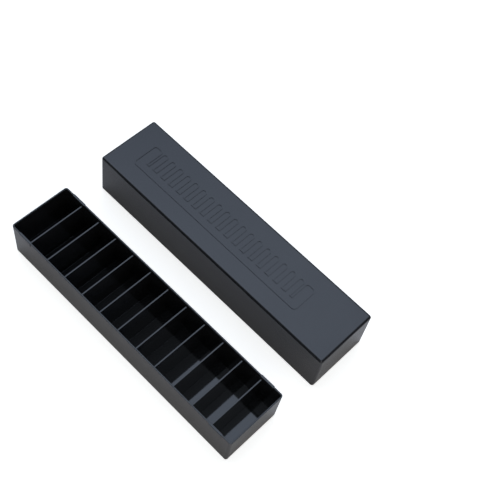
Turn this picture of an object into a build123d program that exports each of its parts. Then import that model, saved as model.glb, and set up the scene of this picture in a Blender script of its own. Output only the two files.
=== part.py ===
from build123d import *
import math
import os

# Storage case for hair-clipper blades and guard combs, standing open: a tray with twelve
# compartments, and beside it the loose lid that fits over it. Both are drafted black plastic
# mouldings with no hinge or catch.
#
# Frame: millimetres. +X runs along the case, +Z is up, and both pieces stand on z = 0. The origin
# is at the centre of the outline that the two pieces cover together.

HALF_TURN = 180  # degrees
TOLERANCE = 0.01  # when edges are picked by their height

# ---- walls common to both mouldings
WALL = 1.2
BASE = 1.5  # floor of the tray, ceiling of the lid

# ---- tray: outside sizes are at its open rim
TRAY_LENGTH = 246.4
TRAY_WIDTH = 56.0
TRAY_HEIGHT = 36.9
TRAY_CORNER = 2.5
TRAY_DRAFT = 1.05  # degrees
TRAY_BASE_ROUND = 0.8

COMPARTMENTS = 12
DIVIDER_TOP = 1.2  # thickness at its top edge
DIVIDER_DRAFT = 0.5  # degrees, each face
DIVIDER_DROP = 2.5  # its top edge stands this far below the rim
DIVIDER_ROUND = 0.15
FLOOR_ROUND = 0.2
RIM_ROUND = 0.2

RIDGE_LENGTH = 13.5  # four ridges on the long walls, flush with the rim, grip the lid
RIDGE_DEPTH = 4.0
RIDGE_PROUD = 0.4
RIDGE_ROUND = 0.3
RIDGE_FROM_END = 16.3  # end of the rim to the middle of a ridge

# ---- lid: outside sizes are at its closed top
LID_LENGTH = 250.0
LID_WIDTH = 59.1
LID_HEIGHT = 43.8
LID_CORNER = 2.3
LID_DRAFT = 0.25  # degrees
LID_TOP_ROUND = 2.0
LID_CEILING_ROUND = 0.6

# ---- decoration on the lid: the raised outline of a plain wide-tooth hair comb
COMB_LENGTH = 184.0
COMB_ALONG = -12.0  # its centre, from the lid's
COMB_SPINE = 7.0  # width of its back, on the side of the tray
COMB_TEETH = 18
COMB_TOOTH_LENGTH = 18.0
COMB_TOOTH_WIDTH = 5.0
COMB_END_TOOTH_WIDTH = 9.0
COMB_CORNER = 3.0
LINE_WIDTH = 1.0
LINE_PROUD = 0.4

# ---- where the lid stands, from the tray's centre
LID_BESIDE = 94.9
LID_ALONG = 1.2
LID_OPEN_LENGTH = LID_LENGTH + 2 * LID_HEIGHT * math.tan(math.radians(LID_DRAFT))
LID_OPEN_WIDTH = LID_WIDTH + 2 * LID_HEIGHT * math.tan(math.radians(LID_DRAFT))
TRAY_FRONT = TRAY_WIDTH / 2 + RIDGE_PROUD
OUTLINE_WIDTH = TRAY_FRONT + LID_BESIDE + LID_OPEN_WIDTH / 2
LID_CENTRE = (0.0, (OUTLINE_WIDTH - LID_OPEN_WIDTH) / 2)
TRAY_CENTRE = (LID_CENTRE[0] - LID_ALONG, LID_CENTRE[1] - LID_BESIDE)


def drafted_block(length, width, corner, height, draft):
    """Rounded block with its large face at z = height, narrowing downwards by the draft."""
    large_face = Pos(0, 0, height) * RectangleRounded(length, width, corner)
    return extrude(large_face, amount=height, dir=(0, 0, -1), taper=draft)


def cavity(length, width, corner, height, draft):
    """The hollow of a tub whose walls are parallel to its drafted outside."""
    hollow = drafted_block(
        length - 2 * WALL, width - 2 * WALL, corner - WALL, height - BASE, draft
    )
    return Pos(0, 0, BASE) * hollow


def edges_at(part, height):
    """Edges that lie wholly at one height."""
    return part.edges().filter_by(
        lambda edge: abs(edge.bounding_box().min.Z - height) < TOLERANCE
        and abs(edge.bounding_box().max.Z - height) < TOLERANCE
    )


def divider():
    """One divider plate with drafted faces, long enough to run into both long walls."""
    top = TRAY_HEIGHT - DIVIDER_DROP
    foot_half = DIVIDER_TOP / 2 + top * math.tan(math.radians(DIVIDER_DRAFT))
    outline = Polyline(
        (-foot_half, 0), (foot_half, 0), (DIVIDER_TOP / 2, top), (-DIVIDER_TOP / 2, top), close=True
    )
    return extrude(Plane.XZ * make_face(outline), amount=TRAY_WIDTH, both=True)


def grip_ridge():
    """One ridge as a bar whose outer face looks along +Y, rounded all round it but along the top."""
    bar = Box(RIDGE_LENGTH, 2 * (WALL / 2 + RIDGE_PROUD), RIDGE_DEPTH)
    outer_edges = bar.faces().sort_by(Axis.Y)[-1].edges()
    top_edge = outer_edges.sort_by(Axis.Z)[-1]
    return fillet([edge for edge in outer_edges if edge != top_edge], RIDGE_ROUND)


def make_tray():
    outside = drafted_block(TRAY_LENGTH, TRAY_WIDTH, TRAY_CORNER, TRAY_HEIGHT, TRAY_DRAFT)
    hollow = cavity(TRAY_LENGTH, TRAY_WIDTH, TRAY_CORNER, TRAY_HEIGHT, TRAY_DRAFT)

    pitch = (TRAY_LENGTH - 2 * WALL + DIVIDER_TOP) / COMPARTMENTS
    first = -pitch * (COMPARTMENTS / 2 - 1)
    for index in range(COMPARTMENTS - 1):
        hollow -= Pos(first + index * pitch, 0, 0) * divider()

    tray = outside - hollow
    tray = fillet(edges_at(tray, 0), TRAY_BASE_ROUND)
    tray = fillet(edges_at(tray, BASE), FLOOR_ROUND)
    divider_top_edges = edges_at(tray, TRAY_HEIGHT - DIVIDER_DROP).filter_by(Axis.Y)
    tray = fillet(divider_top_edges, DIVIDER_ROUND)

    ridge_x = TRAY_LENGTH / 2 - RIDGE_FROM_END
    ridge_y = TRAY_WIDTH / 2 - WALL / 2
    ridge_z = TRAY_HEIGHT - RIDGE_DEPTH / 2
    for along in (-ridge_x, ridge_x):
        for turn in (0, HALF_TURN):
            tray += Rot(0, 0, turn) * Pos(along, ridge_y, ridge_z) * grip_ridge()
    return fillet(edges_at(tray, TRAY_HEIGHT), RIM_ROUND)


def comb_outline(grow):
    """Comb silhouette about its own centre, with every outside edge moved out by grow."""
    depth = COMB_SPINE + COMB_TOOTH_LENGTH
    spine_y = COMB_SPINE / 2 - depth / 2
    corner = COMB_CORNER + grow
    shape = Pos(0, spine_y) * RectangleRounded(
        COMB_LENGTH + 2 * grow, COMB_SPINE + 2 * grow, corner
    )
    end_x = COMB_LENGTH / 2 - COMB_END_TOOTH_WIDTH / 2
    for side in (-end_x, end_x):
        shape += Pos(side, 0) * RectangleRounded(
            COMB_END_TOOTH_WIDTH + 2 * grow, depth + 2 * grow, corner
        )
    pitch = (2 * end_x) / (COMB_TEETH + 1)
    tooth_width = COMB_TOOTH_WIDTH + 2 * grow
    for index in range(1, COMB_TEETH + 1):
        shape += Pos(-end_x + index * pitch, 0) * SlotOverall(
            depth + 2 * grow, tooth_width, rotation=90
        )
    return shape


def make_lid():
    outside = drafted_block(LID_OPEN_LENGTH, LID_OPEN_WIDTH, LID_CORNER, LID_HEIGHT, LID_DRAFT)
    outside = fillet(edges_at(outside, 0), LID_TOP_ROUND)
    hollow = cavity(LID_OPEN_LENGTH, LID_OPEN_WIDTH, LID_CORNER, LID_HEIGHT, LID_DRAFT)
    hollow = fillet(edges_at(hollow, BASE), LID_CEILING_ROUND)
    tub = outside - hollow
    tub = fillet(edges_at(tub, LID_HEIGHT), RIM_ROUND)
    lid = Pos(0, 0, LID_HEIGHT) * Rot(HALF_TURN, 0, 0) * tub

    line_work = comb_outline(LINE_WIDTH / 2) - comb_outline(-LINE_WIDTH / 2)
    lid += Pos(COMB_ALONG, 0, LID_HEIGHT) * extrude(line_work, amount=LINE_PROUD)
    return lid


def main():
    os.makedirs("parts", exist_ok=True)
    tray = Pos(TRAY_CENTRE[0], TRAY_CENTRE[1], 0) * make_tray()
    lid = Pos(LID_CENTRE[0], LID_CENTRE[1], 0) * make_lid()
    export_step(tray, "parts/tray.step")
    export_step(lid, "parts/lid.step")
    print("tray centre", TRAY_CENTRE, "lid centre", LID_CENTRE)


main()
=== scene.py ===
"""Looks of an open storage case for clipper blades and guard combs: tray and lid, built on the CAD frame."""

import math

import bpy
from mathutils import Matrix, Vector


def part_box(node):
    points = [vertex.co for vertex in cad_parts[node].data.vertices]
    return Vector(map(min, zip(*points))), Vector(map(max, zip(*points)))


MM = 0.001

# ---- camera
VIEW_AZIMUTH = math.radians(33.115)
VIEW_ELEVATION = math.radians(58.734)
VIEW_ROLL = math.radians(13.335)
VIEW_DISTANCE = 0.8318  # metres
VIEW_TARGET = Vector((0.0048, 0.0691, 0.0))
SENSOR = 36.0  # millimetres, as is the lens
LENS = 70.67
CLIP_START = 0.01

# ---- light
PANEL_COLOUR = (0.615, 0.738, 1.0)  # level softbox over the back left
PANEL_RADIANCE = 1.22
PANEL_HEIGHT = 1.3
PANEL_LOW = (-1.6, 0.0)  # its two opposite corners, in plan
PANEL_HIGH = (0.1, 1.35)
FILL_COLOUR = (1.0, 0.98, 0.95)  # smaller softbox at the front right
FILL_RADIANCE = 2.0
FILL_PLACE = Vector((0.9, -0.9, 0.9))
FILL_SIZE = (0.9, 0.7)
FILL_AIM = Vector((0.0, 0.0, 0.0))
SKY_COLOUR = (0.77, 0.87, 1.0, 1.0)
SKY_DARK = 0.04  # glow where nothing else lights the studio
WALL_GLOW = 0.8  # pale studio wall, seen only just above the horizon
WALL_TOP = (math.radians(1), math.radians(6))  # elevations over which it ends
SIDE_GLOW = 0.36  # soft light from the sides, between two elevations
SIDE_FOOT = (math.radians(5), math.radians(14))
SIDE_TOP = (math.radians(36), math.radians(50))
FLAG_HEADINGS = (math.radians(-113), math.radians(31))  # two black flags that darken the near edges
FLAG_EDGES = (math.radians(30), math.radians(14))  # from a flag's middle to its outer and inner edge
CEILING_GLOW = 0.6  # lit ceiling beyond the softbox
CEILING_FOOT = (math.radians(48), math.radians(58))
CEILING_NEAR_PANEL = 1.8  # times as bright on the softbox's side
CEILING_CHANGE_X = (-0.1, 0.15)  # plan distance over height, as are the edges below
CEILING_EDGE_X = (0.3, 0.5)
CEILING_EDGE_Y = (-0.37, -0.47)

# ---- stage
SHEET_COLOUR = (0.9, 0.87, 0.79, 1.0)  # neutral under the cool panel
SHEET_GLOW = 0.71  # lifts it to white
SHEET_Z = -0.2 * MM
TABLE_COLOUR = (0.96, 0.885, 0.82, 1.0)
TABLE_Z = -0.1 * MM
TABLE_GLOW = 0.0
STAGE_SIZE = 60.0
BACKDROP_RADIUS = 10.0
BACKDROP_GLOW = 1.0
STAGE_ROUGHNESS = 0.8
STAGE_SPECULAR = 0.1
WHITE = (1.0, 1.0, 1.0, 1.0)
BLACK = (0.0, 0.0, 0.0, 1.0)

# ---- black plastic
PLASTIC_IOR = 1.5
TRAY_COLOUR = Vector((0.0115, 0.0115, 0.012))
LID_COLOUR = Vector((0.0115, 0.0115, 0.0125))
SATIN = 0.22  # roughness of the outside
TRAY_GLOSS = 0.06  # roughness inside, off the polished core of the mould
LID_GLOSS = 0.09  # the same for the lid
ROUGHNESS_SWING = 0.2  # share by which handling and mould wear change it
COLOUR_SWING = 0.25  # share by which the colour wanders
CLOUD_SCALE = 28.0  # of colour and wear; in waves per metre, as are all the scales below
CLOUD_DETAIL = 4.0  # octaves
GRAIN_SCALE = 2600.0  # mould texture on the outside
GRAIN_DEPTH = 0.0028 * MM
WAVE_SCALE = 24.0  # walls are never quite flat
WAVE_DETAIL = 1.0
WAVE_DEPTH = 0.018 * MM
STREAK_SCALE = Vector((40.0, 7.0, 210.0))  # drag marks inside
STREAK_DEPTH = 0.012 * MM
FINE_DETAIL = 2.0  # octaves of grain and streaks
TRAY_INSET = 0.95 * MM  # from the outside to the box that holds the inside faces
LID_INSET = 0.8 * MM
CLOSED_END = 1.2 * MM  # the same inset through the floor or ceiling
OPEN_END = 1.0 * MM  # by which that box runs past the open rim

# ---- a Mix node's sockets when it mixes colours
MIX_FIRST = 6
MIX_SECOND = 7
MIX_RESULT = 2

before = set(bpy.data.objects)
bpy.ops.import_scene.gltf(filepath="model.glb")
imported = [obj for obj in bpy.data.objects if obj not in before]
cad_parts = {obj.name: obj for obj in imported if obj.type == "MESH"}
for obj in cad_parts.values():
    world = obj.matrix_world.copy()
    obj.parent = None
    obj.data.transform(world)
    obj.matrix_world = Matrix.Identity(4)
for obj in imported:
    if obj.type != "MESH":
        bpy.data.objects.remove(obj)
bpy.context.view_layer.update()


def view_axes(azimuth, elevation, roll):
    """Right, up and backward vectors of a camera that looks down at an elevation, then rolls."""
    ahead = Vector((
        -math.sin(azimuth) * math.cos(elevation),
        math.cos(azimuth) * math.cos(elevation),
        -math.sin(elevation),
    ))
    right = ahead.cross(Vector((0, 0, 1))).normalized()
    up = right.cross(ahead)
    rolled_right = math.cos(roll) * right + math.sin(roll) * up
    rolled_up = math.cos(roll) * up - math.sin(roll) * right
    return rolled_right, rolled_up, -ahead


def add_camera():
    right, up, back = view_axes(VIEW_AZIMUTH, VIEW_ELEVATION, VIEW_ROLL)
    data = bpy.data.cameras.new("camera")
    data.sensor_width = SENSOR
    data.lens = LENS
    data.clip_start = CLIP_START
    camera = bpy.data.objects.new("camera", data)
    place = Matrix((right, up, back)).transposed().to_4x4()
    place.translation = VIEW_TARGET + back * VIEW_DISTANCE
    camera.matrix_world = place
    bpy.context.scene.collection.objects.link(camera)
    bpy.context.scene.camera = camera


def add_panel(name, place, aim, size, radiance, colour):
    """Rectangular softbox of one brightness all over."""
    data = bpy.data.lights.new(name, "AREA")
    data.shape = "RECTANGLE"
    data.size, data.size_y = size
    data.energy = radiance * math.pi * size[0] * size[1]
    data.color = colour
    light = bpy.data.objects.new(name, data)
    light.location = place
    light.rotation_euler = (aim - place).to_track_quat("-Z", "Y").to_euler()
    bpy.context.scene.collection.objects.link(light)


def add_overhead(name, low, high, radiance, colour):
    """Level panel over the pieces, between two plan corners."""
    middle = Vector(((low[0] + high[0]) / 2, (low[1] + high[1]) / 2, 0))
    size = (high[0] - low[0], high[1] - low[1])
    add_panel(name, middle + Vector((0, 0, PANEL_HEIGHT)), middle, size, radiance, colour)


def add_lights():
    add_overhead("softbox", PANEL_LOW, PANEL_HIGH, PANEL_RADIANCE, PANEL_COLOUR)
    add_panel("fill", FILL_PLACE, FILL_AIM, FILL_SIZE, FILL_RADIANCE, FILL_COLOUR)


def ramp(tree, value, start, end, low=0.0, high=1.0):
    """Smooth step of a value, from low at start to high at end."""
    node = tree.nodes.new("ShaderNodeMapRange")
    node.interpolation_type = "SMOOTHSTEP"
    node.inputs["From Min"].default_value = start
    node.inputs["From Max"].default_value = end
    node.inputs["To Min"].default_value = low
    node.inputs["To Max"].default_value = high
    tree.links.new(value, node.inputs["Value"])
    return node.outputs["Result"]


def math_node(tree, operation, first, second):
    """One operation on two sockets, or on a socket and a number."""
    node = tree.nodes.new("ShaderNodeMath")
    node.operation = operation
    for socket, value in zip(node.inputs, (first, second)):
        if isinstance(value, (int, float)):
            socket.default_value = value
        else:
            tree.links.new(value, socket)
    return node.outputs[0]


def flag(tree, level, heading):
    """0 behind a black flag that stands upright at a heading, 1 clear of it."""
    dot = tree.nodes.new("ShaderNodeVectorMath")
    dot.operation = "DOT_PRODUCT"
    dot.inputs[1].default_value = (math.cos(heading), math.sin(heading), 0)
    tree.links.new(level, dot.inputs[0])
    return ramp(tree, dot.outputs["Value"], math.cos(FLAG_EDGES[0]), math.cos(FLAG_EDGES[1]), 1, 0)


def add_world():
    """Dark studio: pale wall low down, soft light from the sides and a dim ceiling overhead."""
    world = bpy.data.worlds.new("studio")
    bpy.context.scene.world = world
    world.use_nodes = True
    tree = world.node_tree
    ahead = tree.nodes.new("ShaderNodeTexCoord").outputs["Generated"]
    split = tree.nodes.new("ShaderNodeSeparateXYZ")
    tree.links.new(ahead, split.inputs[0])
    x, y, z = split.outputs
    flat = tree.nodes.new("ShaderNodeVectorMath")
    flat.operation = "MULTIPLY"
    flat.inputs[1].default_value = (1, 1, 0)
    tree.links.new(ahead, flat.inputs[0])
    level = tree.nodes.new("ShaderNodeVectorMath")
    level.operation = "NORMALIZE"
    tree.links.new(flat.outputs[0], level.inputs[0])

    wall = ramp(tree, z, math.sin(WALL_TOP[0]), math.sin(WALL_TOP[1]), WALL_GLOW, SKY_DARK)

    side = ramp(tree, z, math.sin(SIDE_FOOT[0]), math.sin(SIDE_FOOT[1]), 0, SIDE_GLOW)
    below = ramp(tree, z, math.sin(SIDE_TOP[0]), math.sin(SIDE_TOP[1]), 1, 0)
    side = math_node(tree, "MULTIPLY", side, below)
    for heading in FLAG_HEADINGS:
        side = math_node(tree, "MULTIPLY", side, flag(tree, level.outputs[0], heading))

    plan_x = math_node(tree, "DIVIDE", x, z)
    plan_y = math_node(tree, "DIVIDE", y, z)
    ceiling = ramp(tree, z, math.sin(CEILING_FOOT[0]), math.sin(CEILING_FOOT[1]), 0, CEILING_GLOW)
    for share in (
        ramp(tree, plan_x, CEILING_CHANGE_X[0], CEILING_CHANGE_X[1], CEILING_NEAR_PANEL, 1),
        ramp(tree, plan_x, CEILING_EDGE_X[0], CEILING_EDGE_X[1], 1, 0),
        ramp(tree, plan_y, CEILING_EDGE_Y[1], CEILING_EDGE_Y[0], 0, 1),
    ):
        ceiling = math_node(tree, "MULTIPLY", ceiling, share)

    glow = math_node(tree, "ADD", math_node(tree, "ADD", wall, side), ceiling)
    tree.links.new(glow, tree.nodes["Background"].inputs["Strength"])
    tree.nodes["Background"].inputs["Color"].default_value = SKY_COLOUR


def new_material(name):
    material = bpy.data.materials.new(name)
    material.use_nodes = True
    tree = material.node_tree
    return material, tree, tree.nodes["Principled BSDF"]


def stage_piece(obj, name, colour, glow):
    """Finish a piece of the stage: matt, and lit a little from within."""
    obj.name = name
    material, tree, shader = new_material(name)
    shader.inputs["Base Color"].default_value = colour
    shader.inputs["Roughness"].default_value = STAGE_ROUGHNESS
    shader.inputs["Specular IOR Level"].default_value = STAGE_SPECULAR
    shader.inputs["Emission Color"].default_value = WHITE
    shader.inputs["Emission Strength"].default_value = glow
    obj.data.materials.append(material)


def add_plane(name, height, colour, glow):
    bpy.ops.mesh.primitive_plane_add(size=STAGE_SIZE, location=(0, 0, height))
    plane = bpy.context.object
    stage_piece(plane, name, colour, glow)
    return plane


def add_stage():
    """White sheet and white backdrop to look at, and a duller table that only reflections see."""
    sheet = add_plane("white_sheet", SHEET_Z, SHEET_COLOUR, SHEET_GLOW)
    sheet.visible_glossy = False

    table = add_plane("table", TABLE_Z, TABLE_COLOUR, TABLE_GLOW)
    table.visible_camera = False

    bpy.ops.mesh.primitive_uv_sphere_add(radius=BACKDROP_RADIUS)
    backdrop = bpy.context.object
    stage_piece(backdrop, "white_backdrop", BLACK, BACKDROP_GLOW)
    backdrop.visible_glossy = False

    for obj in (table, backdrop):
        obj.visible_diffuse = False
        obj.visible_shadow = False
        obj.visible_transmission = False


def noise(tree, coords, scale, detail=FINE_DETAIL):
    """Noise from 0 to 1; a vector scale stretches it."""
    stretch = tree.nodes.new("ShaderNodeVectorMath")
    stretch.operation = "MULTIPLY"
    stretch.inputs[1].default_value = scale if isinstance(scale, Vector) else (scale, scale, scale)
    tree.links.new(coords, stretch.inputs[0])
    node = tree.nodes.new("ShaderNodeTexNoise")
    node.inputs["Scale"].default_value = 1.0
    node.inputs["Detail"].default_value = detail
    tree.links.new(stretch.outputs[0], node.inputs["Vector"])
    return node.outputs[0]


def bump(tree, height, depth, normal=None):
    """Relief of a height from 0 to 1 over a depth in metres, laid on another relief."""
    node = tree.nodes.new("ShaderNodeBump")
    node.inputs["Distance"].default_value = depth
    tree.links.new(height, node.inputs["Height"])
    if normal is not None:
        tree.links.new(normal, node.inputs["Normal"])
    return node.outputs[0]


def box_mask(tree, coords, low, high):
    """1 inside a box of object coordinates, 0 outside."""
    split = tree.nodes.new("ShaderNodeSeparateXYZ")
    tree.links.new(coords, split.inputs[0])
    result = 1.0
    for axis in range(3):
        above = math_node(tree, "GREATER_THAN", split.outputs[axis], low[axis])
        below = math_node(tree, "LESS_THAN", split.outputs[axis], high[axis])
        result = math_node(tree, "MULTIPLY", math_node(tree, "MULTIPLY", above, below), result)
    return result


def mixed_colour(tree, factor, colour):
    """The colour a little darker where factor is 0 and a little lighter where it is 1."""
    node = tree.nodes.new("ShaderNodeMix")
    node.data_type = "RGBA"
    tree.links.new(factor, node.inputs["Factor"])
    node.inputs[MIX_FIRST].default_value = (*(colour * (1 - COLOUR_SWING)), 1)
    node.inputs[MIX_SECOND].default_value = (*(colour * (1 + COLOUR_SWING)), 1)
    return node.outputs[MIX_RESULT]


def plastic(name, colour, gloss, inside):
    """Black, slightly wavy moulding: fine satin grain outside, gloss and drag streaks in its box."""
    material, tree, shader = new_material(name)
    coords = tree.nodes.new("ShaderNodeTexCoord").outputs["Object"]
    is_inside = box_mask(tree, coords, *inside)
    cloud = noise(tree, coords, CLOUD_SCALE, CLOUD_DETAIL)

    finish = ramp(tree, is_inside, 0.0, 1.0, SATIN, gloss)
    wear = ramp(tree, cloud, 0.0, 1.0, 1 - ROUGHNESS_SWING, 1 + ROUGHNESS_SWING)
    tree.links.new(math_node(tree, "MULTIPLY", finish, wear), shader.inputs["Roughness"])
    tree.links.new(mixed_colour(tree, cloud, colour), shader.inputs["Base Color"])
    shader.inputs["IOR"].default_value = PLASTIC_IOR

    outside = math_node(tree, "SUBTRACT", 1.0, is_inside)
    grain = math_node(tree, "MULTIPLY", noise(tree, coords, GRAIN_SCALE), outside)
    streaks = math_node(tree, "MULTIPLY", noise(tree, coords, STREAK_SCALE), is_inside)
    relief = bump(tree, noise(tree, coords, WAVE_SCALE, WAVE_DETAIL), WAVE_DEPTH)
    relief = bump(tree, streaks, STREAK_DEPTH, relief)
    relief = bump(tree, grain, GRAIN_DEPTH, relief)
    tree.links.new(relief, shader.inputs["Normal"])
    return material


def dress(node, material):
    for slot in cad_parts[node].material_slots:
        slot.material = material


def inner_box(node, closed_end_up, inset):
    """Box that holds a moulding's inside faces and not its outside ones."""
    low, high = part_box(node)
    margin = Vector((inset, inset, 0))
    low, high = low + margin, high - margin
    if closed_end_up:
        high.z -= CLOSED_END
        low.z -= OPEN_END
    else:
        low.z += CLOSED_END
        high.z += OPEN_END
    return low, high


bpy.context.scene.view_settings.view_transform = "Standard"
add_camera()
add_lights()
add_world()
add_stage()
dress("tray", plastic("tray_black", TRAY_COLOUR, TRAY_GLOSS, inner_box("tray", False, TRAY_INSET)))
dress("lid", plastic("lid_black", LID_COLOUR, LID_GLOSS, inner_box("lid", True, LID_INSET)))
